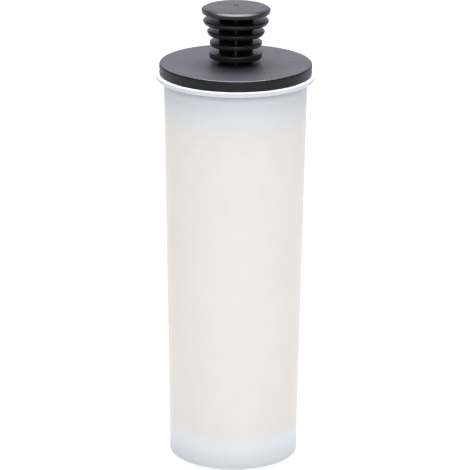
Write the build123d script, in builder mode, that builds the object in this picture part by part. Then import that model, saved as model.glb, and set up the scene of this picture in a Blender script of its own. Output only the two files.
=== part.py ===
from build123d import *
import os
from math import pi, radians, tan

os.makedirs("parts", exist_ok=True)

# Descaling cartridge of a steam cleaner. It stands on z = 0 with its axis on Z.
# Tank water enters by the slots in the floor, rises through the resin bed into the space
# under the lid, and leaves by the riser tube and the outlet socket in the middle of the floor.

# Container: a beaker with draft, a foot ring and a flange round its mouth
container_height = 145.8
base_radius = 23.8
draft_angle = 0.95
wall = 1.3
base_bevel = 0.5
foot_bevel = 0.2
flange_width = 2.8
flange_thickness = 1.8
flange_bevel = 0.3
flange_root_bevel = 0.5
floor_recess = 2.0
floor_thickness = 1.5
floor_corner_bevel = 1.0

# Floor: radial ribs carry the lower screen, and slots between them let the water in
rib_count = 8
rib_thickness = 1.2
rib_wall_gap = 3.2
chamber_height = 5.0
inlets_per_bay = 3
inlet_width = 1.2
inlet_margin = 2.8

# Outlet socket in the middle of the floor, with a seal, a stop and a seat for the riser tube
socket_radius = 4.1
socket_depth = 6.0
socket_wall = 1.2
seal_section = 2.2
seal_bevel = 0.5
seal_pocket_clearance = 0.1
retainer_height = 1.9
retainer_clearance = 0.05
retainer_bore_clearance = 0.25
retainer_lead_in = 0.6
stop_thickness = 1.0
riser_seat_depth = 4.8

# Riser tube
riser_radius = 4.5
riser_wall = 0.9
riser_clearance = 0.12
riser_stand = 4.0

# Screens and fleece discs above and below the resin
screen_thickness = 1.6
screen_clearance = 0.3
screen_rings = 3
screen_slot_width = 1.0
screen_slot_pitch = 7.0
screen_bridge = 1.8
skirt_thickness = 1.0
hub_wall = 1.4
hub_height = 2.6
fleece_thickness = 2.0
filling_clearance = 0.1
headspace = 8.8

# Lid: a disc whose rim stands on the flange and whose collar plugs the mouth
lid_setback = 1.15
lid_height = 3.7
lid_plate = 1.8
lid_rim_wall = 1.6
lid_edge_bevel = 0.4
collar_depth = 2.5
collar_thickness = 1.6
collar_clearance = 0.15
lid_rib_count = 8
lid_rib_height = 1.6
lid_rib_thickness = 1.1
lid_hub_radius = 7.4

# Grip: a cross-shaped core that carries four fins and a domed cap
web_span = 12.3
web_thickness = 1.3
web_end_bevel = 0.3
web_root_radius = 0.7
lowest_fin_thickness = 2.3
fin_thickness = 1.7
fin_pitch = 4.0
fin_first_gap = 2.1
fin_edge_bevel = 0.4
fin_rims = [(9.7, 9.5), (9.6, 9.4), (10.75, 10.0), (12.2, 11.45)]
cap_radius = 12.5
cap_underside_radius = 12.35
cap_gap = 2.4
cap_rim_height = 1.45
cap_dome = 1.1
cap_edge_bevel = 0.5
gate_radius = 0.9
gate_depth = 0.35

# Heights along the axis, from the standing face up
floor_top = floor_recess + floor_thickness
lower_screen_bottom = floor_top + chamber_height
lower_fleece_bottom = lower_screen_bottom + screen_thickness
bed_bottom = lower_fleece_bottom + fleece_thickness
flange_underside = container_height - flange_thickness
collar_bottom = container_height - collar_depth
upper_screen_top = collar_bottom - headspace
upper_screen_bottom = upper_screen_top - screen_thickness
bed_top = upper_screen_bottom - fleece_thickness
lid_top = container_height + lid_height
lid_plate_bottom = lid_top - lid_plate
lowest_fin_top = lid_top + fin_first_gap + lowest_fin_thickness
cap_bottom = lowest_fin_top + (len(fin_rims) - 1) * fin_pitch + cap_gap
cap_rim_top = cap_bottom + cap_rim_height
cap_apex = cap_rim_top + cap_dome

# Outlet socket: heights and radii
seal_bottom = floor_recess + retainer_height
seal_step = seal_bottom + seal_section
socket_top = seal_step + socket_depth
riser_seat = socket_top + stop_thickness
boss_top = riser_seat + riser_seat_depth
riser_top = upper_screen_top + riser_stand
seal_outer_radius = socket_radius + seal_section
seal_pocket_radius = seal_outer_radius + seal_pocket_clearance
boss_radius = seal_pocket_radius + socket_wall
riser_bore_radius = riser_radius - riser_wall
riser_seat_radius = riser_radius + riser_clearance


def outside_radius(height):
    """Outer radius of the container's wall at a height."""
    return base_radius + height * tan(radians(draft_angle))


def inside_radius(height):
    """Inner radius of the container's wall at a height."""
    return outside_radius(height) - wall


def bevelled(corners):
    """Points of a closed outline, with each corner cut back by the bevel that goes with it."""
    points = []
    for index, (across, height, bevel) in enumerate(corners):
        corner = Vector(across, height)
        if bevel == 0:
            points.append(corner)
            continue
        before = Vector(*corners[index - 1][:2])
        after = Vector(*corners[(index + 1) % len(corners)][:2])
        points.append(corner + (before - corner).normalized() * bevel)
        points.append(corner + (after - corner).normalized() * bevel)
    return points


# Radii that follow from the container's wall
foot_inner_radius = inside_radius(0)
mouth_radius = outside_radius(flange_underside)
flange_radius = mouth_radius + flange_width
lid_radius = flange_radius - lid_setback
rib_end_radius = inside_radius(floor_top) - rib_wall_gap
inlet_inner_radius = boss_radius + inlet_margin
inlet_length = rib_end_radius - inlet_inner_radius

# Container: one revolved section, with the ribs added and the inlet slots cut
with BuildPart() as container:
    with BuildSketch(Plane.XZ):
        with BuildLine():
            Polyline(
                *bevelled(
                    [
                        (foot_inner_radius, 0, foot_bevel),
                        (base_radius, 0, base_bevel),
                        (mouth_radius, flange_underside, flange_root_bevel),
                        (flange_radius, flange_underside, flange_bevel),
                        (flange_radius, container_height, flange_bevel),
                        (inside_radius(container_height), container_height, 0),
                        (inside_radius(floor_top), floor_top, floor_corner_bevel),
                        (boss_radius, floor_top, floor_corner_bevel),
                        (boss_radius, boss_top, foot_bevel),
                        (riser_seat_radius, boss_top, 0),
                        (riser_seat_radius, riser_seat, 0),
                        (riser_bore_radius, riser_seat, 0),
                        (riser_bore_radius, socket_top, 0),
                        (socket_radius, socket_top, 0),
                        (socket_radius, seal_step, 0),
                        (seal_pocket_radius, seal_step, 0),
                        (seal_pocket_radius, floor_recess, 0),
                        (foot_inner_radius, floor_recess, 0),
                    ]
                ),
                close=True,
            )
        make_face()
    revolve(axis=Axis.Z)
    rib_start_radius = boss_radius - socket_wall / 2
    with BuildSketch(Plane.XY.offset(floor_top)):
        with PolarLocations((rib_start_radius + rib_end_radius) / 2, rib_count):
            Rectangle(rib_end_radius - rib_start_radius, rib_thickness)
    extrude(amount=chamber_height)
    inlet_count = rib_count * inlets_per_bay
    with BuildSketch(Plane.XY.offset(floor_recess)):
        with PolarLocations(
            inlet_inner_radius + inlet_length / 2, inlet_count, start_angle=180 / inlet_count
        ):
            Rectangle(inlet_length, inlet_width)
    extrude(amount=floor_thickness, mode=Mode.SUBTRACT)
container.part.label = "container"
export_step(container.part, "parts/container.step")

# Outlet seal: a rubber ring of square section against the step of its pocket
with BuildPart() as outlet_seal:
    with BuildSketch(Plane.XZ):
        with BuildLine():
            Polyline(
                *bevelled(
                    [
                        (socket_radius, seal_bottom, seal_bevel),
                        (seal_outer_radius, seal_bottom, 0),
                        (seal_outer_radius, seal_step, 0),
                        (socket_radius, seal_step, seal_bevel),
                    ]
                ),
                close=True,
            )
        make_face()
    revolve(axis=Axis.Z)
outlet_seal.part.label = "outlet_seal"
export_step(outlet_seal.part, "parts/outlet_seal.step")

# Seal retainer: a ring pressed into the pocket, with a lead-in for the spigot
with BuildPart() as seal_retainer:
    retainer_outer_radius = seal_pocket_radius - retainer_clearance
    retainer_bore_radius = socket_radius + retainer_bore_clearance
    with BuildSketch(Plane.XZ):
        with BuildLine():
            Polyline(
                (retainer_bore_radius + retainer_lead_in, floor_recess),
                (retainer_outer_radius, floor_recess),
                (retainer_outer_radius, seal_bottom),
                (retainer_bore_radius, seal_bottom),
                (retainer_bore_radius, floor_recess + retainer_lead_in),
                close=True,
            )
        make_face()
    revolve(axis=Axis.Z)
seal_retainer.part.label = "seal_retainer"
export_step(seal_retainer.part, "parts/seal_retainer.step")

# Riser tube, from its seat in the socket to the space under the lid
with BuildPart() as riser_tube:
    with BuildSketch(Plane.XY.offset(riser_seat)):
        Circle(riser_radius)
        Circle(riser_bore_radius, mode=Mode.SUBTRACT)
    extrude(amount=riser_top - riser_seat)
riser_tube.part.label = "riser_tube"
export_step(riser_tube.part, "parts/riser_tube.step")


def cut_screen_slots(hub_radius, rim_radius, bottom):
    """Slots of a screen: rings of radial slots between its hub and its rim."""
    ring_width = (rim_radius - hub_radius - screen_bridge) / screen_rings
    with BuildPart(mode=Mode.PRIVATE) as slots:
        with BuildSketch(Plane.XY.offset(bottom)):
            for ring in range(screen_rings):
                ring_radius = hub_radius + screen_bridge / 2 + (ring + 0.5) * ring_width
                slot_count = round(2 * pi * ring_radius / screen_slot_pitch)
                with PolarLocations(ring_radius, slot_count):
                    Rectangle(ring_width - screen_bridge, screen_slot_width)
        extrude(amount=screen_thickness)
    return slots.part


# Lower screen: a slotted disc on the ribs of the floor
lower_screen_radius = inside_radius(lower_screen_bottom) - screen_clearance
lower_screen_bore = boss_radius + screen_clearance
with BuildPart() as lower_screen:
    with BuildSketch(Plane.XY.offset(lower_screen_bottom)):
        Circle(lower_screen_radius)
        Circle(lower_screen_bore, mode=Mode.SUBTRACT)
    extrude(amount=screen_thickness)
    add(cut_screen_slots(lower_screen_bore, lower_screen_radius, lower_screen_bottom), mode=Mode.SUBTRACT)
lower_screen.part.label = "lower_screen"
export_step(lower_screen.part, "parts/lower_screen.step")

# Upper screen: a slotted disc with a hub round the riser tube, and a skirt up to the lid's collar
upper_screen_radius = inside_radius(upper_screen_bottom) - screen_clearance
hub_bore_radius = riser_radius + riser_clearance
hub_radius = hub_bore_radius + hub_wall
with BuildPart() as upper_screen:
    with BuildSketch(Plane.XZ):
        with BuildLine():
            Polyline(
                (hub_bore_radius, upper_screen_bottom),
                (upper_screen_radius, upper_screen_bottom),
                (upper_screen_radius, collar_bottom),
                (upper_screen_radius - skirt_thickness, collar_bottom),
                (upper_screen_radius - skirt_thickness, upper_screen_top),
                (hub_radius, upper_screen_top),
                (hub_radius, upper_screen_top + hub_height),
                (hub_bore_radius, upper_screen_top + hub_height),
                close=True,
            )
        make_face()
    revolve(axis=Axis.Z)
    add(
        cut_screen_slots(hub_radius, upper_screen_radius - skirt_thickness, upper_screen_bottom),
        mode=Mode.SUBTRACT,
    )
upper_screen.part.label = "upper_screen"
export_step(upper_screen.part, "parts/upper_screen.step")

# Fleece discs that keep the beads in, one under the bed and one on it
with BuildPart() as lower_fleece:
    with BuildSketch(Plane.XY.offset(lower_fleece_bottom)):
        Circle(inside_radius(lower_fleece_bottom) - filling_clearance)
        Circle(boss_radius + filling_clearance, mode=Mode.SUBTRACT)
    extrude(amount=fleece_thickness)
lower_fleece.part.label = "lower_fleece"
export_step(lower_fleece.part, "parts/lower_fleece.step")

with BuildPart() as upper_fleece:
    with BuildSketch(Plane.XY.offset(bed_top)):
        Circle(inside_radius(bed_top) - filling_clearance)
        Circle(riser_radius + filling_clearance, mode=Mode.SUBTRACT)
    extrude(amount=fleece_thickness)
upper_fleece.part.label = "upper_fleece"
export_step(upper_fleece.part, "parts/upper_fleece.step")

# Resin bed: it fills the beaker between the fleeces, round the socket and the riser tube
with BuildPart() as resin_bed:
    with BuildSketch(Plane.XZ):
        with BuildLine():
            Polyline(
                (boss_radius + filling_clearance, bed_bottom),
                (inside_radius(bed_bottom) - filling_clearance, bed_bottom),
                (inside_radius(bed_top) - filling_clearance, bed_top),
                (riser_radius + filling_clearance, bed_top),
                (riser_radius + filling_clearance, boss_top + filling_clearance),
                (boss_radius + filling_clearance, boss_top + filling_clearance),
                close=True,
            )
        make_face()
    revolve(axis=Axis.Z)
resin_bed.part.label = "resin_bed"
export_step(resin_bed.part, "parts/resin_bed.step")

# Lid and grip: one moulding, from the collar in the mouth to the domed cap
collar_radius = inside_radius(collar_bottom) - collar_clearance
collar_inner_radius = collar_radius - collar_thickness
cap_dome_radius = (cap_radius**2 + cap_dome**2) / (2 * cap_dome)
with BuildPart() as lid:
    # Disc with its rim and collar
    with BuildSketch(Plane.XZ):
        with BuildLine():
            Polyline(
                *bevelled(
                    [
                        (0, lid_plate_bottom, 0),
                        (collar_inner_radius, lid_plate_bottom, 0),
                        (collar_inner_radius, collar_bottom, 0),
                        (collar_radius, collar_bottom, 0),
                        (collar_radius, lid_plate_bottom, 0),
                        (lid_radius - lid_rim_wall, lid_plate_bottom, 0),
                        (lid_radius - lid_rim_wall, container_height, 0),
                        (lid_radius, container_height, 0),
                        (lid_radius, lid_top, lid_edge_bevel),
                        (0, lid_top, 0),
                    ]
                ),
                close=True,
            )
        make_face()
    revolve(axis=Axis.Z)
    # Ribs under the disc, from a ring under the grip to the collar
    rib_reach = collar_inner_radius + collar_thickness / 2
    with BuildSketch(Plane.XY.offset(lid_plate_bottom)):
        Circle(lid_hub_radius + lid_rib_thickness / 2)
        Circle(lid_hub_radius - lid_rib_thickness / 2, mode=Mode.SUBTRACT)
        with PolarLocations((lid_hub_radius + rib_reach) / 2, lid_rib_count):
            Rectangle(rib_reach - lid_hub_radius, lid_rib_thickness)
    extrude(amount=-lid_rib_height)
    # Cross-shaped core
    with BuildSketch(Plane.XY.offset(lid_top)) as core:
        Rectangle(web_span, web_thickness)
        Rectangle(web_thickness, web_span)
        root_corners = core.vertices().sort_by_distance((0, 0))[:4]
        chamfer(core.vertices().sort_by_distance((0, 0))[4:], web_end_bevel)
        fillet(root_corners, web_root_radius)
    extrude(amount=cap_bottom - lid_top)
    # Fins
    with BuildSketch(Plane.XZ):
        for level, (rim_top, rim_bottom) in enumerate(fin_rims):
            fin_top = lowest_fin_top + level * fin_pitch
            fin_bottom = fin_top - (lowest_fin_thickness if level == 0 else fin_thickness)
            with BuildLine():
                Polyline(
                    *bevelled(
                        [
                            (0, fin_bottom, 0),
                            (rim_bottom, fin_bottom, fin_edge_bevel),
                            (rim_top, fin_top, fin_edge_bevel),
                            (0, fin_top, 0),
                        ]
                    ),
                    close=True,
                )
            make_face()
    revolve(axis=Axis.Z)
    # Domed cap with the mark of the injection gate at its middle
    with BuildSketch(Plane.XZ) as cap:
        with BuildLine():
            Polyline(
                (0, cap_apex),
                (0, cap_bottom),
                (cap_underside_radius, cap_bottom),
                (cap_radius, cap_rim_top),
            )
            RadiusArc((0, cap_apex), (cap_radius, cap_rim_top), cap_dome_radius)
        make_face()
        chamfer(cap.vertices().sort_by(Axis.X)[-1], cap_edge_bevel)
    revolve(axis=Axis.Z)
    with BuildSketch(Plane.XY.offset(cap_apex)):
        Circle(gate_radius)
    extrude(amount=-gate_depth, mode=Mode.SUBTRACT)
lid.part.label = "lid"
export_step(lid.part, "parts/lid.step")
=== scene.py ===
from math import asin, atan2, cos, pi, radians, sin, tan

import bmesh
import bpy
from mathutils import Matrix, Vector, noise


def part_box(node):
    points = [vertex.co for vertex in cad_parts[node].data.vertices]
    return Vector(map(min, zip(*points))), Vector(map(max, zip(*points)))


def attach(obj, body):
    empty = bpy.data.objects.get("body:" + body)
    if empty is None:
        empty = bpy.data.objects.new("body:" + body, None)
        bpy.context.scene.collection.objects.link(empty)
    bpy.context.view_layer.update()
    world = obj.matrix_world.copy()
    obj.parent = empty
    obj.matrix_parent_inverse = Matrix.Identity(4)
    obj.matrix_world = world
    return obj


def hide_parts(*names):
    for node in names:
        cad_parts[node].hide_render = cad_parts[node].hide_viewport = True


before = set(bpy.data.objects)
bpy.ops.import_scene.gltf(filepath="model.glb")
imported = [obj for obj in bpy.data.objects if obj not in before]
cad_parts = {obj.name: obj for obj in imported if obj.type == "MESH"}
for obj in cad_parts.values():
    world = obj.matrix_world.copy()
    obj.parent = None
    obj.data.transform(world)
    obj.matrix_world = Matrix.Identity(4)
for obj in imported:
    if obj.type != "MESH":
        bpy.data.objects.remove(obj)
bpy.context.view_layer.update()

# All sizes are in metres. The cartridge stands on z = 0 with its axis on Z.
MM = 0.001

# Container
CONTAINER_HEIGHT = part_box("container")[1].z
FLANGE_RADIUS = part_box("container")[1].x
BASE_RADIUS = 23.8 * MM
DRAFT_ANGLE = radians(0.95)
WALL = 1.3 * MM
FLANGE_UNDERSIDE = CONTAINER_HEIGHT - 1.8 * MM
FLOOR_BOTTOM = 2.0 * MM
FLOOR_TOP = 3.5 * MM
RIB_COUNT = 8
RIB_THICKNESS = 1.2 * MM
RIB_WALL_DISTANCE = 3.2 * MM
INLET_COUNT = 24
INLET_WIDTH = 1.2 * MM
INLET_MARGIN = 2.8 * MM

# Outlet socket and riser tube
SOCKET_RADIUS = 4.1 * MM
SOCKET_WALL = 1.2 * MM
SEAL_BOTTOM = 3.9 * MM
SEAL_STEP = 6.1 * MM
SOCKET_TOP = 12.1 * MM
RISER_BOTTOM = 13.1 * MM
BOSS_TOP = 17.9 * MM
BOSS_RADIUS = 7.6 * MM
SEAL_POCKET_RADIUS = 6.4 * MM
SEAL_RADIUS = 6.3 * MM
RETAINER_BORE_CLEARANCE = 0.25 * MM
RETAINER_LEAD_IN = 0.6 * MM
RISER_RADIUS = 4.5 * MM
RISER_BORE_RADIUS = 3.6 * MM
RISER_CLEARANCE = 0.12 * MM

# Screens, fleeces and resin
LOWER_SCREEN_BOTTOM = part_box("lower_screen")[0].z
UPPER_SCREEN_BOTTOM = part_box("upper_screen")[0].z
SCREEN_THICKNESS = 1.6 * MM
SCREEN_CLEARANCE = 0.3 * MM
FILLING_CLEARANCE = 0.1 * MM
SCREEN_SLOT_WIDTH = 1.0 * MM
SCREEN_SLOT_PITCH = 7.0 * MM
SCREEN_BRIDGE = 1.8 * MM
SCREEN_RINGS = 3
SKIRT_THICKNESS = 1.0 * MM
HUB_WALL = 1.4 * MM
HUB_HEIGHT = 2.6 * MM

# Lid and grip
LID_TOP = CONTAINER_HEIGHT + 3.95 * MM
LID_PLATE_BOTTOM = LID_TOP - 1.8 * MM
LID_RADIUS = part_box("lid")[1].x
LID_RIM_WALL = 1.6 * MM
COLLAR_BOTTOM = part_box("lid")[0].z
COLLAR_THICKNESS = 1.6 * MM
COLLAR_CLEARANCE = 0.15 * MM
LID_RIB_COUNT = 8
LID_RIB_HEIGHT = 1.6 * MM
LID_RIB_THICKNESS = 1.1 * MM
LID_HUB_RADIUS = 7.4 * MM
WEB_SPAN = 12.3 * MM
WEB_THICKNESS = 1.3 * MM
LOWEST_FIN_THICKNESS = 2.3 * MM
FIN_THICKNESS = 1.7 * MM
FIN_PITCH = 4.0 * MM
LOWEST_FIN_TOP = LID_TOP + 4.15 * MM
# Radius of each fin at its top and at its underside, from the lowest fin up
FIN_RIMS = [
    (9.7 * MM, 9.5 * MM),
    (9.6 * MM, 9.4 * MM),
    (10.75 * MM, 10.0 * MM),
    (12.2 * MM, 11.45 * MM),
]
CAP_RADIUS = 12.5 * MM
CAP_UNDERSIDE_RADIUS = 12.35 * MM
CAP_BOTTOM = LID_TOP + 18.55 * MM
CAP_RIM_TOP = CAP_BOTTOM + 1.3 * MM
CAP_TOP = CAP_BOTTOM + 2.55 * MM
CAP_SHOULDER_ROUND = 2.8 * MM
CAP_SHOULDER_SLOPE = radians(46)
CAP_EDGE_ROUND = 0.12 * MM
GATE_RADIUS = 0.9 * MM
GATE_DEPTH = 0.35 * MM
GATE_LEDGE = (0.12 * MM, 0.18 * MM)
GATE_SLOPE_WIDTH = 0.35 * MM

# Roundings of edges and corners
FOOT_ROUND = 0.6 * MM
FOOT_INNER_ROUND = 0.2 * MM
FLANGE_ROOT_ROUND = 0.6 * MM
FLANGE_ROUND = 0.35 * MM
MOUTH_ROUND = 0.15 * MM
FLOOR_CORNER_ROUND = 1.2 * MM
FLOOR_RECESS_ROUND = 0.4 * MM
BOSS_ROOT_ROUND = 1.0 * MM
BOSS_ROUND = 0.25 * MM
SOCKET_ROUND = 0.2 * MM
SEAL_POCKET_ROUND = 0.25 * MM
SEAL_INNER_ROUND = 0.5 * MM
SEAL_OUTER_ROUND = 0.15 * MM
RETAINER_ROUND = 0.15 * MM
RISER_ROUND = 0.2 * MM
SCREEN_ROUND = 0.25 * MM
SCREEN_ROOT_ROUND = 0.5 * MM
FLEECE_ROUND = 0.35 * MM
LID_EDGE_ROUND = 0.62 * MM
LID_RIM_ROUND = 0.2 * MM
LID_PLATE_ROUND = 0.3 * MM
COLLAR_ROUND = 0.4 * MM
COLLAR_INNER_ROUND = 0.25 * MM
WEB_END_ROUND = 0.35 * MM
WEB_ROOT_ROUND = 0.7 * MM
FIN_ROUND = 0.5 * MM
CAP_UNDERSIDE_ROUND = 0.25 * MM

# How far a joined or cutting shape reaches past the surface that it meets
OVERLAP = 0.4 * MM

# Fineness of the turned meshes
SEGMENTS = 160
NARROW_SEGMENTS = 96
ROUND_STEPS = 5
SHOULDER_STEPS = 8
DOME_STEPS = 12
CREASE_ANGLE = radians(32)
# A point of an outline that is nearer to the axis than this becomes one vertex.
ON_AXIS = 1e-9


def outside_radius(height):
    """Outer radius of the container's wall at a height."""
    return BASE_RADIUS + height * tan(DRAFT_ANGLE)


def inside_radius(height):
    """Inner radius of the container's wall at a height."""
    return outside_radius(height) - WALL


# Mesh tools

def rounded(corners):
    """Points of a closed outline of (across, height, radius) corners, with each corner rounded."""
    outline = []
    for index, (across, height, radius) in enumerate(corners):
        corner = Vector((across, height))
        if radius == 0:
            outline.append(corner)
            continue
        before = (Vector(corners[index - 1][:2]) - corner).normalized()
        after = (Vector(corners[(index + 1) % len(corners)][:2]) - corner).normalized()
        half = before.angle(after) / 2
        centre = corner + (before + after).normalized() * (radius / sin(half))
        spoke = corner + before * (radius / tan(half)) - centre
        turn = (pi - 2 * half) * (-1 if before.cross(after) > 0 else 1)
        for step in range(ROUND_STEPS + 1):
            spin = Matrix.Rotation(turn * step / ROUND_STEPS, 2)
            outline.append(centre + spin @ spoke)
    return outline


def piece_from(mesh_builder, name):
    """New object from a mesh made in bmesh, with its faces turned outwards."""
    bmesh.ops.recalc_face_normals(mesh_builder, faces=mesh_builder.faces)
    mesh = bpy.data.meshes.new(name)
    mesh_builder.to_mesh(mesh)
    mesh_builder.free()
    piece = bpy.data.objects.new(name, mesh)
    bpy.context.scene.collection.objects.link(piece)
    return piece


def lathe(name, outline, segments=SEGMENTS):
    """Closed piece made by turning a closed outline of (across, height) points round the axis."""
    builder = bmesh.new()
    rings = []
    for across, height in outline:
        if abs(across) < ON_AXIS:
            rings.append([builder.verts.new((0, 0, height))])
            continue
        angles = [2 * pi * index / segments for index in range(segments)]
        rings.append([builder.verts.new((across * cos(a), across * sin(a), height)) for a in angles])
    for index, ring in enumerate(rings):
        other = rings[(index + 1) % len(rings)]
        if len(ring) == 1 and len(other) == 1:
            continue
        for step in range(segments):
            following = (step + 1) % segments
            loop = [ring[step % len(ring)], ring[following % len(ring)]]
            loop += [other[following % len(other)], other[step % len(other)]]
            builder.faces.new(list(dict.fromkeys(loop)))
    return piece_from(builder, name)


def prism(name, outline, bottom, top):
    """Closed piece with an outline of (x, y) points between two heights."""
    builder = bmesh.new()
    low = [builder.verts.new((x, y, bottom)) for x, y in outline]
    high = [builder.verts.new((x, y, top)) for x, y in outline]
    builder.faces.new(low)
    builder.faces.new(high)
    for index in range(len(outline)):
        following = (index + 1) % len(outline)
        builder.faces.new([low[index], low[following], high[following], high[index]])
    return piece_from(builder, name)


def spokes(name, count, inner, outer, width, bottom, top, start_angle=0.0):
    """Radial bars round the axis, as one piece."""
    builder = bmesh.new()
    place = Matrix.Translation(((inner + outer) / 2, 0, (bottom + top) / 2))
    size = Matrix.Diagonal((outer - inner, width, top - bottom, 1))
    for index in range(count):
        spin = Matrix.Rotation(start_angle + 2 * pi * index / count, 4, "Z")
        bmesh.ops.create_cube(builder, size=1, matrix=spin @ place @ size)
    return piece_from(builder, name)


def combine(piece, tool, operation):
    """Joins a tool to a piece or cuts it out of the piece, and uses the tool up."""
    modifier = piece.modifiers.new("combine", "BOOLEAN")
    modifier.operation = operation
    modifier.solver = "EXACT"
    modifier.object = tool
    graph = bpy.context.evaluated_depsgraph_get()
    mesh = bpy.data.meshes.new_from_object(piece.evaluated_get(graph))
    piece.modifiers.clear()
    piece.data = mesh
    bpy.data.objects.remove(tool)


def finish_piece(piece, node, material):
    """Shades a piece, gives it its body and its material, and hides the part that it stands for."""
    mesh = piece.data
    mesh.name = piece.name
    for polygon in mesh.polygons:
        polygon.use_smooth = True
    mesh.set_sharp_from_angle(angle=CREASE_ANGLE)
    normals = piece.modifiers.new("normals", "WEIGHTED_NORMAL")
    normals.keep_sharp = True
    mesh.materials.clear()
    mesh.materials.append(material)
    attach(piece, "root")
    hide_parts(node)


# Materials

# Noise keeps between these two values, but for its rare ends.
NOISE_LOW = 0.3
NOISE_HIGH = 0.7

# Colours of the container's plastic, from its foot up. The foot edge and foot ring are darkened with
# painted shade. The neck darkens towards the flange with painted shade under the flange and the lid, and at
# its top the black collar of the lid behind the wall dims it as well.
# Painted shade: the foot edge and the foot ring are darker than the plastic above them.
FOOT_EDGE_PAINTED_SHADE = (0.60, 0.636, 0.675)
FOOT_RING_PAINTED_SHADE = (0.675, 0.705, 0.738)
EMPTY_FOOT = (0.738, 0.773, 0.797)
FILLED = (0.763, 0.733, 0.68)
FILLED_MIDDLE = (0.773, 0.735, 0.688)
EMPTY_NECK = (0.702, 0.723, 0.743)
# Painted shade under the flange and the lid darkens the neck from here up, and the lid's black collar lies
# behind the wall at its top.
NECK_PAINTED_SHADE = (0.607, 0.64, 0.675)
COLLAR_AND_PAINTED_SHADE = (0.478, 0.515, 0.565)
FLANGE = (0.64, 0.655, 0.695)
PLASTIC_STOPS = [
    (0.0 * MM, FOOT_EDGE_PAINTED_SHADE),
    (3.0 * MM, FOOT_RING_PAINTED_SHADE),
    (8.0 * MM, EMPTY_FOOT),
    (15.5 * MM, FILLED),
    (70.0 * MM, FILLED_MIDDLE),
    (126.0 * MM, FILLED),
    (134.0 * MM, EMPTY_NECK),
    (140.5 * MM, NECK_PAINTED_SHADE),
    (143.4 * MM, COLLAR_AND_PAINTED_SHADE),
    (144.2 * MM, FLANGE),
]

# Colour and roughness of the lid's plastic: its rim, the edge and face of its disc, and the grip
RIM_COLOUR = (0.004, 0.004, 0.005)
# Painted sheen: the top face is lighter grey than the rim and the grip of the same black plastic.
FACE_PAINTED_SHEEN = (0.023, 0.022, 0.027)
GRIP_COLOUR = (0.006, 0.006, 0.007)
RIM_ROUGHNESS = 0.42
EDGE_ROUGHNESS = 0.28
FACE_ROUGHNESS = 0.51
GRIP_ROUGHNESS = 0.36
LID_COLOUR_STOPS = [
    (LID_TOP - 0.1 * MM, RIM_COLOUR),
    (LID_TOP - 0.02 * MM, FACE_PAINTED_SHEEN),
    (LID_TOP + 0.15 * MM, FACE_PAINTED_SHEEN),
    (LID_TOP + 0.5 * MM, GRIP_COLOUR),
]
LID_ROUGHNESS_STOPS = [
    (LID_TOP - 0.7 * MM, RIM_ROUGHNESS),
    (LID_TOP - 0.4 * MM, EDGE_ROUGHNESS),
    (LID_TOP - 0.06 * MM, EDGE_ROUGHNESS),
    (LID_TOP - 0.02 * MM, FACE_ROUGHNESS),
    (LID_TOP + 0.15 * MM, FACE_ROUGHNESS),
    (LID_TOP + 0.5 * MM, GRIP_ROUGHNESS),
]


def add_node(material, kind, **settings):
    """New shader node, with settings for its properties and, by index or name, its inputs."""
    node = material.node_tree.nodes.new(kind)
    for name, value in settings.pop("inputs", {}).items():
        node.inputs[name].default_value = value
    for name, value in settings.items():
        setattr(node, name, value)
    return node


def join(material, source, output, target, target_input):
    """Link from one node's output to another's input."""
    material.node_tree.links.new(source.outputs[output], target.inputs[target_input])


def new_material(name, **shader_inputs):
    """Material with a Principled shader, and that shader, with values for its inputs."""
    material = bpy.data.materials.new(name)
    material.use_nodes = True
    shader = material.node_tree.nodes["Principled BSDF"]
    for label, value in shader_inputs.items():
        shader.inputs[label.replace("_", " ")].default_value = value
    return material, shader


def noise_node(material, coordinates, scale, detail=3.0, roughness=0.5):
    """Noise in object space, with its scale in repeats per metre."""
    node = add_node(
        material,
        "ShaderNodeTexNoise",
        inputs={"Scale": scale, "Detail": detail, "Roughness": roughness},
    )
    join(material, coordinates, "Object", node, "Vector")
    return node


def spread(material, noise_source, low, high):
    """Node that maps noise, which gathers round 0.5, to a range."""
    node = add_node(
        material,
        "ShaderNodeMapRange",
        inputs={"From Min": NOISE_LOW, "From Max": NOISE_HIGH, "To Min": low, "To Max": high},
    )
    join(material, noise_source, "Fac", node, "Value")
    return node


def vary_roughness(material, shader, noise_source, low, high):
    """Lets the roughness vary between two values with noise."""
    join(material, spread(material, noise_source, low, high), "Result", shader, "Roughness")


def bump(material, shader, source, output, distance, strength=1.0, under=None):
    """Bump from a factor, on top of another bump if one is given."""
    node = add_node(material, "ShaderNodeBump", inputs={"Distance": distance, "Strength": strength})
    join(material, source, output, node, "Height")
    if under is not None:
        join(material, under, "Normal", node, "Normal")
    join(material, node, "Normal", shader, "Normal")
    return node


def height_ramp(material, coordinates, stops):
    """Colour that follows the height, from (height, colour) stops."""
    heights = [height for height, _ in stops]
    low, high = heights[0], heights[-1]
    split = add_node(material, "ShaderNodeSeparateXYZ")
    join(material, coordinates, "Object", split, "Vector")
    reach = add_node(material, "ShaderNodeMapRange", inputs={"From Min": low, "From Max": high})
    join(material, split, "Z", reach, "Value")
    ramp = add_node(material, "ShaderNodeValToRGB")
    ramp.color_ramp.interpolation = "EASE"
    elements = ramp.color_ramp.elements
    while len(elements) < len(stops):
        elements.new(position=0.5)
    for element, (height, colour) in zip(elements, stops):
        element.position = (height - low) / (high - low)
        element.color = (*colour, 1)
    join(material, reach, "Result", ramp, "Fac")
    return ramp


def two_tones(material, source, output, dark, light, low=0.0, high=1.0):
    """Colour that runs from dark to light while a factor runs from low to high."""
    ramp = add_node(material, "ShaderNodeValToRGB")
    for element, position, colour in zip(ramp.color_ramp.elements, (low, high), (dark, light)):
        element.position = position
        element.color = (*colour, 1)
    join(material, source, output, ramp, "Fac")
    return ramp


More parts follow.
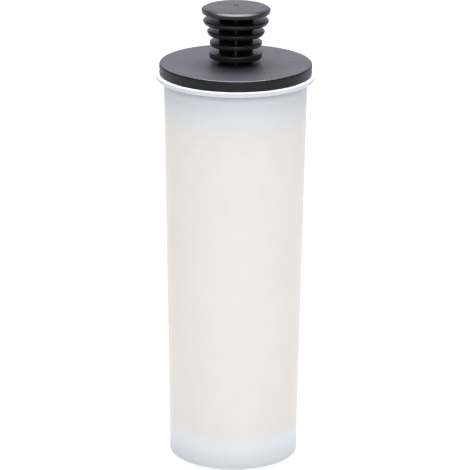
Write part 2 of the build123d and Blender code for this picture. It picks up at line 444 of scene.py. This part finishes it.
def vary_colour(material, shader, colour_source, noise_source, low, high):
    """Multiplies a colour by a soft variation before it reaches the shader."""
    mix = add_node(material, "ShaderNodeMix", data_type="RGBA", blend_type="MULTIPLY")
    mix.inputs["Factor"].default_value = 1.0
    join(material, colour_source, "Color", mix, "A")
    join(material, spread(material, noise_source, low, high), "Result", mix, "B")
    join(material, mix, "Result", shader, "Base Color")


def natural_plastic():
    """Milky polypropylene, beige where the resin lies behind it and bluish above and below, with painted
    shade at its foot and under its flange.
    """
    material, shader = new_material(
        "natural_plastic",
        IOR=1.49,
        Subsurface_Weight=0.25,
        Subsurface_Radius=(1.0, 1.0, 1.0),
        Subsurface_Scale=1.2 * MM,
    )
    coordinates = add_node(material, "ShaderNodeTexCoord")
    ramp = height_ramp(material, coordinates, PLASTIC_STOPS)
    mottle = noise_node(material, coordinates, scale=130, detail=4.0)
    vary_colour(material, shader, ramp, mottle, low=0.985, high=1.01)
    smear = noise_node(material, coordinates, scale=260)
    vary_roughness(material, shader, smear, low=0.36, high=0.46)
    ripple = noise_node(material, coordinates, scale=75, detail=1.0)
    waves = bump(material, shader, ripple, "Fac", distance=0.05 * MM, strength=0.5)
    grain = noise_node(material, coordinates, scale=3200, detail=2.0)
    bump(material, shader, grain, "Fac", distance=0.006 * MM, strength=0.5, under=waves)
    return material


def black_plastic():
    """Black polypropylene, duller on the grained top face of the disc, where a lighter grey is painted
    sheen.
    """
    material, shader = new_material("black_plastic", IOR=1.49, Specular_IOR_Level=0.34)
    coordinates = add_node(material, "ShaderNodeTexCoord")
    tone = height_ramp(material, coordinates, LID_COLOUR_STOPS)
    cloud = noise_node(material, coordinates, scale=90, detail=4.0)
    vary_colour(material, shader, tone, cloud, low=0.88, high=1.12)
    greys = [(height, (value,) * 3) for height, value in LID_ROUGHNESS_STOPS]
    gloss = height_ramp(material, coordinates, greys)
    wear = noise_node(material, coordinates, scale=420)
    roughness = add_node(material, "ShaderNodeMath", operation="MULTIPLY")
    join(material, gloss, "Color", roughness, 0)
    join(material, spread(material, wear, low=0.92, high=1.08), "Result", roughness, 1)
    join(material, roughness, "Value", shader, "Roughness")
    grain = noise_node(material, coordinates, scale=2600, detail=2.0)
    bump(material, shader, grain, "Fac", distance=0.02 * MM, strength=0.6)
    return material


def resin_beads():
    """Packed beads of beige resin, each about 0.7 mm across."""
    material, shader = new_material("resin", IOR=1.45, Subsurface_Weight=0.2, Subsurface_Scale=0.6 * MM)
    coordinates = add_node(material, "ShaderNodeTexCoord")
    beads = add_node(material, "ShaderNodeTexVoronoi", inputs={"Scale": 1450.0})
    join(material, coordinates, "Object", beads, "Vector")
    tint = two_tones(material, beads, "Color", dark=(0.70, 0.57, 0.40), light=(0.84, 0.73, 0.56))
    cloud = noise_node(material, coordinates, scale=60)
    vary_colour(material, shader, tint, cloud, low=0.95, high=1.05)
    vary_roughness(material, shader, cloud, low=0.4, high=0.6)
    domes = bump(material, shader, beads, "Distance", distance=0.3 * MM)
    domes.invert = True
    return material


def white_fleece():
    """Needled white felt with a fine tangle of fibres."""
    material, shader = new_material("fleece", IOR=1.45, Sheen_Weight=0.4, Sheen_Roughness=0.5)
    coordinates = add_node(material, "ShaderNodeTexCoord")
    fibres = noise_node(material, coordinates, scale=2100, detail=5.0, roughness=0.65)
    fibres.inputs["Distortion"].default_value = 2.0
    tint = two_tones(
        material,
        fibres,
        "Fac",
        dark=(0.62, 0.62, 0.60),
        light=(0.86, 0.86, 0.84),
        low=0.3,
        high=0.6,
    )
    join(material, tint, "Color", shader, "Base Color")
    vary_roughness(material, shader, fibres, low=0.8, high=0.95)
    bump(material, shader, fibres, "Fac", distance=0.12 * MM)
    return material


def seal_rubber():
    """Smooth black rubber, a little dusty."""
    material, shader = new_material("seal_rubber", IOR=1.5)
    coordinates = add_node(material, "ShaderNodeTexCoord")
    dust = noise_node(material, coordinates, scale=600, detail=4.0)
    tint = two_tones(material, dust, "Fac", dark=(0.012, 0.012, 0.012), light=(0.03, 0.03, 0.03))
    join(material, tint, "Color", shader, "Base Color")
    vary_roughness(material, shader, dust, low=0.45, high=0.6)
    bump(material, shader, dust, "Fac", distance=0.01 * MM)
    return material


# Pieces

def make_container(material):
    """Beaker with its foot ring, flange, socket, ribs and water inlets."""
    foot_inner = inside_radius(0)
    flange_root = outside_radius(FLANGE_UNDERSIDE)
    riser_hole = RISER_RADIUS + RISER_CLEARANCE
    piece = lathe(
        "beaker",
        rounded(
            [
                (foot_inner, 0, FOOT_INNER_ROUND),
                (BASE_RADIUS, 0, FOOT_ROUND),
                (flange_root, FLANGE_UNDERSIDE, FLANGE_ROOT_ROUND),
                (FLANGE_RADIUS, FLANGE_UNDERSIDE, FLANGE_ROUND),
                (FLANGE_RADIUS, CONTAINER_HEIGHT, FLANGE_ROUND),
                (inside_radius(CONTAINER_HEIGHT), CONTAINER_HEIGHT, MOUTH_ROUND),
                (inside_radius(FLOOR_TOP), FLOOR_TOP, FLOOR_CORNER_ROUND),
                (BOSS_RADIUS, FLOOR_TOP, BOSS_ROOT_ROUND),
                (BOSS_RADIUS, BOSS_TOP, BOSS_ROUND),
                (riser_hole, BOSS_TOP, BOSS_ROUND),
                (riser_hole, RISER_BOTTOM, 0),
                (RISER_BORE_RADIUS, RISER_BOTTOM, 0),
                (RISER_BORE_RADIUS, SOCKET_TOP, 0),
                (SOCKET_RADIUS, SOCKET_TOP, SOCKET_ROUND),
                (SOCKET_RADIUS, SEAL_STEP, SOCKET_ROUND),
                (SEAL_POCKET_RADIUS, SEAL_STEP, 0),
                (SEAL_POCKET_RADIUS, FLOOR_BOTTOM, SEAL_POCKET_ROUND),
                (foot_inner, FLOOR_BOTTOM, FLOOR_RECESS_ROUND),
            ]
        ),
    )
    rib_start = BOSS_RADIUS - SOCKET_WALL / 2
    rib_end = inside_radius(FLOOR_TOP) - RIB_WALL_DISTANCE
    inlet_start = BOSS_RADIUS + INLET_MARGIN
    ribs = spokes(
        "ribs", RIB_COUNT, rib_start, rib_end, RIB_THICKNESS, FLOOR_TOP - OVERLAP, LOWER_SCREEN_BOTTOM
    )
    combine(piece, ribs, "UNION")
    inlets = spokes(
        "inlets",
        INLET_COUNT,
        inlet_start,
        rib_end,
        INLET_WIDTH,
        FLOOR_BOTTOM - OVERLAP,
        FLOOR_TOP + OVERLAP,
        start_angle=pi / INLET_COUNT,
    )
    combine(piece, inlets, "DIFFERENCE")
    finish_piece(piece, "container", material)


def make_lid(material):
    """Disc with its collar and ribs, cross-shaped core, fins and domed cap, as one moulding."""
    collar = inside_radius(COLLAR_BOTTOM) - COLLAR_CLEARANCE
    collar_inner = collar - COLLAR_THICKNESS
    rim_inner = LID_RADIUS - LID_RIM_WALL
    piece = lathe(
        "lid_and_grip",
        rounded(
            [
                (0, LID_PLATE_BOTTOM, 0),
                (collar_inner, LID_PLATE_BOTTOM, LID_PLATE_ROUND),
                (collar_inner, COLLAR_BOTTOM, COLLAR_INNER_ROUND),
                (collar, COLLAR_BOTTOM, COLLAR_ROUND),
                (collar, LID_PLATE_BOTTOM, LID_RIM_ROUND),
                (rim_inner, LID_PLATE_BOTTOM, LID_PLATE_ROUND),
                (rim_inner, CONTAINER_HEIGHT, LID_RIM_ROUND),
                (LID_RADIUS, CONTAINER_HEIGHT, LID_RIM_ROUND),
                (LID_RADIUS, LID_TOP, LID_EDGE_ROUND),
                (0, LID_TOP, 0),
            ]
        ),
    )
    ring_inner = LID_HUB_RADIUS - LID_RIB_THICKNESS / 2
    ring_outer = LID_HUB_RADIUS + LID_RIB_THICKNESS / 2
    rib_bottom = LID_PLATE_BOTTOM - LID_RIB_HEIGHT
    hub_ring = lathe(
        "hub_ring",
        rounded(
            [
                (ring_inner, LID_PLATE_BOTTOM + OVERLAP, 0),
                (ring_inner, rib_bottom, LID_RIM_ROUND),
                (ring_outer, rib_bottom, LID_RIM_ROUND),
                (ring_outer, LID_PLATE_BOTTOM + OVERLAP, 0),
            ]
        ),
    )
    combine(piece, hub_ring, "UNION")
    lid_ribs = spokes(
        "lid_ribs",
        LID_RIB_COUNT,
        LID_HUB_RADIUS,
        collar_inner + COLLAR_THICKNESS / 2,
        LID_RIB_THICKNESS,
        rib_bottom,
        LID_PLATE_BOTTOM + OVERLAP,
    )
    combine(piece, lid_ribs, "UNION")
    combine(piece, make_core(), "UNION")
    for level in range(len(FIN_RIMS)):
        combine(piece, make_fin(level), "UNION")
    combine(piece, make_cap(), "UNION")
    finish_piece(piece, "lid", material)


def make_core():
    """Cross-shaped core of the grip, from the disc to the cap."""
    span = WEB_SPAN / 2
    side = WEB_THICKNESS / 2
    quarter = [
        (span, -side, WEB_END_ROUND),
        (span, side, WEB_END_ROUND),
        (side, side, WEB_ROOT_ROUND),
    ]
    cross = []
    for turns in range(4):
        spin = Matrix.Rotation(turns * pi / 2, 2)
        cross += [(*(spin @ Vector((x, y))), radius) for x, y, radius in quarter]
    return prism("core", rounded(cross), LID_TOP - OVERLAP, CAP_BOTTOM + OVERLAP)


def make_fin(level):
    """One fin of the grip, a disc with a tapered rim. The lowest fin is level 0, and thicker."""
    rim_top, rim_bottom = FIN_RIMS[level]
    top = LOWEST_FIN_TOP + level * FIN_PITCH
    bottom = top - (LOWEST_FIN_THICKNESS if level == 0 else FIN_THICKNESS)
    return lathe(
        f"fin_{level}",
        rounded(
            [
                (0, bottom, 0),
                (rim_bottom, bottom, FIN_ROUND),
                (rim_top, top, FIN_ROUND),
                (0, top, 0),
            ]
        ),
    )


def make_cap():
    """Flat dome with a rounded shoulder, a narrow rim and the mark of the injection gate at its middle."""
    shoulder_centre = Vector(
        (
            CAP_RADIUS - CAP_SHOULDER_ROUND * sin(CAP_SHOULDER_SLOPE),
            CAP_RIM_TOP - CAP_SHOULDER_ROUND * cos(CAP_SHOULDER_SLOPE),
        )
    )
    # The dome is the circle about a point on the axis that runs into the shoulder without a kink.
    rise = CAP_TOP - shoulder_centre.y - CAP_SHOULDER_ROUND
    dome_radius = CAP_SHOULDER_ROUND + (shoulder_centre.x**2 + rise**2) / (2 * rise)
    dome_centre = CAP_TOP - dome_radius
    outline = rounded(
        [
            (0, CAP_BOTTOM, 0),
            (CAP_UNDERSIDE_RADIUS, CAP_BOTTOM, CAP_UNDERSIDE_ROUND),
            (CAP_RADIUS, CAP_RIM_TOP - CAP_EDGE_ROUND, 0),
        ]
    )
    blend_slope = atan2(shoulder_centre.x, shoulder_centre.y - dome_centre)
    for step in range(SHOULDER_STEPS + 1):
        slope = CAP_SHOULDER_SLOPE + (blend_slope - CAP_SHOULDER_SLOPE) * step / SHOULDER_STEPS
        outline.append(shoulder_centre + CAP_SHOULDER_ROUND * Vector((sin(slope), cos(slope))))
    gate_slope = asin(GATE_RADIUS / dome_radius)
    for step in range(1, DOME_STEPS + 1):
        slope = blend_slope + (gate_slope - blend_slope) * step / DOME_STEPS
        outline.append(Vector((dome_radius * sin(slope), dome_centre + dome_radius * cos(slope))))
    gate_top = outline[-1].y
    outline += [
        Vector((GATE_RADIUS - GATE_LEDGE[0], gate_top - GATE_LEDGE[1])),
        Vector((GATE_RADIUS - GATE_SLOPE_WIDTH, gate_top - GATE_DEPTH)),
        Vector((0, gate_top - GATE_DEPTH)),
    ]
    return lathe("cap", outline)


def make_slots(hub_radius, rim_radius, bottom):
    """Rings of radial slots between the hub and the rim of a screen."""
    ring_width = (rim_radius - hub_radius - SCREEN_BRIDGE) / SCREEN_RINGS
    builder = bmesh.new()
    for ring in range(SCREEN_RINGS):
        middle = hub_radius + SCREEN_BRIDGE / 2 + (ring + 0.5) * ring_width
        count = round(2 * pi * middle / SCREEN_SLOT_PITCH)
        size = Matrix.Diagonal(
            (ring_width - SCREEN_BRIDGE, SCREEN_SLOT_WIDTH, SCREEN_THICKNESS + 2 * OVERLAP, 1)
        )
        for index in range(count):
            spin = Matrix.Rotation(2 * pi * index / count, 4, "Z")
            place = Matrix.Translation((middle, 0, bottom + SCREEN_THICKNESS / 2))
            bmesh.ops.create_cube(builder, size=1, matrix=spin @ place @ size)
    return piece_from(builder, "slots")


def make_lower_screen(material):
    """Slotted disc on the ribs of the floor."""
    bottom = LOWER_SCREEN_BOTTOM
    radius = inside_radius(bottom) - SCREEN_CLEARANCE
    bore = BOSS_RADIUS + SCREEN_CLEARANCE
    piece = lathe(
        "lower_sieve",
        rounded(
            [
                (bore, bottom, SCREEN_ROUND),
                (radius, bottom, SCREEN_ROUND),
                (radius, bottom + SCREEN_THICKNESS, SCREEN_ROUND),
                (bore, bottom + SCREEN_THICKNESS, SCREEN_ROUND),
            ]
        ),
    )
    combine(piece, make_slots(bore, radius, bottom), "DIFFERENCE")
    finish_piece(piece, "lower_screen", material)


def make_upper_screen(material):
    """Slotted disc with a hub round the riser tube and a skirt up to the lid's collar."""
    bottom = UPPER_SCREEN_BOTTOM
    top = bottom + SCREEN_THICKNESS
    radius = inside_radius(bottom) - SCREEN_CLEARANCE
    bore = RISER_RADIUS + RISER_CLEARANCE
    hub = bore + HUB_WALL
    piece = lathe(
        "upper_sieve",
        rounded(
            [
                (bore, bottom, SCREEN_ROUND),
                (radius, bottom, SCREEN_ROUND),
                (radius, COLLAR_BOTTOM, SCREEN_ROUND),
                (radius - SKIRT_THICKNESS, COLLAR_BOTTOM, SCREEN_ROUND),
                (radius - SKIRT_THICKNESS, top, SCREEN_ROOT_ROUND),
                (hub, top, SCREEN_ROOT_ROUND),
                (hub, top + HUB_HEIGHT, SCREEN_ROUND),
                (bore, top + HUB_HEIGHT, SCREEN_ROUND),
            ]
        ),
    )
    combine(piece, make_slots(hub, radius - SKIRT_THICKNESS, bottom), "DIFFERENCE")
    finish_piece(piece, "upper_screen", material)


def make_riser(material):
    """Tube from its seat in the socket to the space under the lid."""
    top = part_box("riser_tube")[1].z
    piece = lathe(
        "riser",
        rounded(
            [
                (RISER_BORE_RADIUS, RISER_BOTTOM, RISER_ROUND),
                (RISER_RADIUS, RISER_BOTTOM, RISER_ROUND),
                (RISER_RADIUS, top, RISER_ROUND),
                (RISER_BORE_RADIUS, top, RISER_ROUND),
            ]
        ),
        segments=NARROW_SEGMENTS,
    )
    finish_piece(piece, "riser_tube", material)


def make_seal(material):
    """Rubber ring against the step of its pocket."""
    piece = lathe(
        "seal_ring",
        rounded(
            [
                (SOCKET_RADIUS, SEAL_BOTTOM, SEAL_INNER_ROUND),
                (SEAL_RADIUS, SEAL_BOTTOM, SEAL_OUTER_ROUND),
                (SEAL_RADIUS, SEAL_STEP, SEAL_OUTER_ROUND),
                (SOCKET_RADIUS, SEAL_STEP, SEAL_INNER_ROUND),
            ]
        ),
        segments=NARROW_SEGMENTS,
    )
    finish_piece(piece, "outlet_seal", material)


def make_retainer(material):
    """Ring pressed into the pocket under the seal, with a lead-in for the spigot."""
    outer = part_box("seal_retainer")[1].x
    bore = SOCKET_RADIUS + RETAINER_BORE_CLEARANCE
    piece = lathe(
        "seal_keeper",
        rounded(
            [
                (bore + RETAINER_LEAD_IN, FLOOR_BOTTOM, RETAINER_ROUND),
                (outer, FLOOR_BOTTOM, RETAINER_ROUND),
                (outer, SEAL_BOTTOM, RETAINER_ROUND),
                (bore, SEAL_BOTTOM, RETAINER_ROUND),
                (bore, FLOOR_BOTTOM + RETAINER_LEAD_IN, RETAINER_ROUND),
            ]
        ),
        segments=NARROW_SEGMENTS,
    )
    finish_piece(piece, "seal_retainer", material)


def divided(outline, longest):
    """The outline with its long runs divided, so that its surface can be moved in between."""
    points = []
    for index, start in enumerate(outline):
        end = outline[(index + 1) % len(outline)]
        parts = max(1, round((end - start).length / longest))
        points += [start.lerp(end, part / parts) for part in range(parts)]
    return points


def roughen(piece, scale, depth):
    """Presses a surface in unevenly, by no more than the depth, so that it stays inside its own outline."""
    mesh = piece.data
    normals = [vertex.normal.copy() for vertex in mesh.vertices]
    for vertex, normal in zip(mesh.vertices, normals):
        press = (noise.noise(vertex.co * scale) + 1) / 2
        vertex.co -= normal * depth * press


def make_fleece(name, node, bore, material):
    """Felt disc with an uneven surface."""
    low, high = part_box(node)
    outline = rounded(
        [
            (bore, low.z, FLEECE_ROUND),
            (high.x, low.z, FLEECE_ROUND),
            (high.x, high.z, FLEECE_ROUND),
            (bore, high.z, FLEECE_ROUND),
        ]
    )
    piece = lathe(name, divided(outline, longest=1.0 * MM))
    roughen(piece, scale=900, depth=0.15 * MM)
    finish_piece(piece, node, material)


def make_resin(material):
    """Packed beads between the fleeces, round the socket and the riser tube."""
    low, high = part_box("resin_bed")
    outer = BOSS_RADIUS + FILLING_CLEARANCE
    inner = RISER_RADIUS + FILLING_CLEARANCE
    step = BOSS_TOP + FILLING_CLEARANCE
    outline = [
        Vector((outer, low.z)),
        Vector((inside_radius(low.z) - FILLING_CLEARANCE, low.z)),
        Vector((inside_radius(high.z) - FILLING_CLEARANCE, high.z)),
        Vector((inner, high.z)),
        Vector((inner, step)),
        Vector((outer, step)),
    ]
    piece = lathe("beads", divided(outline, longest=1.2 * MM))
    roughen(piece, scale=1300, depth=0.2 * MM)
    finish_piece(piece, "resin_bed", material)


natural = natural_plastic()
black = black_plastic()
fleece = white_fleece()
make_container(natural)
make_lower_screen(natural)
make_upper_screen(natural)
make_riser(natural)
make_retainer(natural)
make_seal(seal_rubber())
make_fleece("lower_felt", "lower_fleece", BOSS_RADIUS + FILLING_CLEARANCE, fleece)
make_fleece("upper_felt", "upper_fleece", RISER_RADIUS + FILLING_CLEARANCE, fleece)
make_resin(resin_beads())
make_lid(black)


# Floor and light

FLOOR_SIZE = 7.0
FLOOR_COLOUR = (0.2, 0.2, 0.2)
FLOOR_GLOW = 0.68


def make_floor():
    """Plain white light table."""
    builder = bmesh.new()
    bmesh.ops.create_grid(builder, x_segments=1, y_segments=1, size=FLOOR_SIZE / 2)
    floor = piece_from(builder, "floor")
    material, _ = new_material(
        "floor_paper",
        Base_Color=(*FLOOR_COLOUR, 1),
        Roughness=0.9,
        Specular_IOR_Level=0.0,
        Emission_Color=(1, 1, 1, 1),
        Emission_Strength=FLOOR_GLOW,
    )
    floor.data.materials.append(material)


def make_light(name, place, target, width, depth, watts, colour):
    """Soft rectangular light aimed at a point."""
    light = bpy.data.lights.new(name, "AREA")
    light.shape = "RECTANGLE"
    light.size = width
    light.size_y = depth
    light.energy = watts
    light.color = colour
    holder = bpy.data.objects.new(name, light)
    holder.location = place
    holder.rotation_euler = (Vector(target) - Vector(place)).to_track_quat("-Z", "Y").to_euler()
    bpy.context.scene.collection.objects.link(holder)


def make_world(strength, colour):
    """Even light from all sides."""
    world = bpy.data.worlds.new("studio")
    world.use_nodes = True
    sky = world.node_tree.nodes["Background"]
    sky.inputs["Color"].default_value = (*colour, 1)
    sky.inputs["Strength"].default_value = strength
    bpy.context.scene.world = world


make_floor()
make_world(strength=0.22, colour=(0.9, 0.89, 1.0))
make_light(
    "front_softbox",
    place=(0.1, -1.7, 1.1),
    target=(0, 0, 0.08),
    width=1.2,
    depth=0.9,
    watts=19.4,
    colour=(1.0, 0.995, 0.96),
)
make_light(
    "top_softbox",
    place=(0, 0.02, 1.15),
    target=(0, 0, 0.15),
    width=0.9,
    depth=0.6,
    watts=20,
    colour=(0.88, 0.9, 1.0),
)
make_light(
    "high_back_softbox",
    place=(0, 0.3, 1.1),
    target=(0, 0, 0.15),
    width=0.8,
    depth=0.5,
    watts=20,
    colour=(1.0, 0.98, 0.99),
)
make_light(
    "low_back_softbox",
    place=(0, 1.3, 0.65),
    target=(0, 0, 0.15),
    width=1.3,
    depth=0.6,
    watts=3.4,
    colour=(0.88, 0.86, 1.0),
)


# Camera, with its place and tilt fitted to the rims in the photograph

CAMERA_PLACE = (0.16 * MM, -1055.0 * MM, 418.5 * MM)
CAMERA_PITCH = radians(90 - 17.6)
CAMERA_ROLL = radians(0.39)
camera_data = bpy.data.cameras.new("camera")
camera_data.sensor_width = 36
camera_data.lens = 228.9
camera_data.clip_start = 0.05
camera_data.clip_end = 50
camera = bpy.data.objects.new("camera", camera_data)
aim = Matrix.Rotation(CAMERA_PITCH, 4, "X") @ Matrix.Rotation(CAMERA_ROLL, 4, "Z")
camera.matrix_world = Matrix.Translation(CAMERA_PLACE) @ aim
bpy.context.scene.collection.objects.link(camera)
bpy.context.scene.camera = camera
bpy.context.scene.view_settings.view_transform = "Standard"
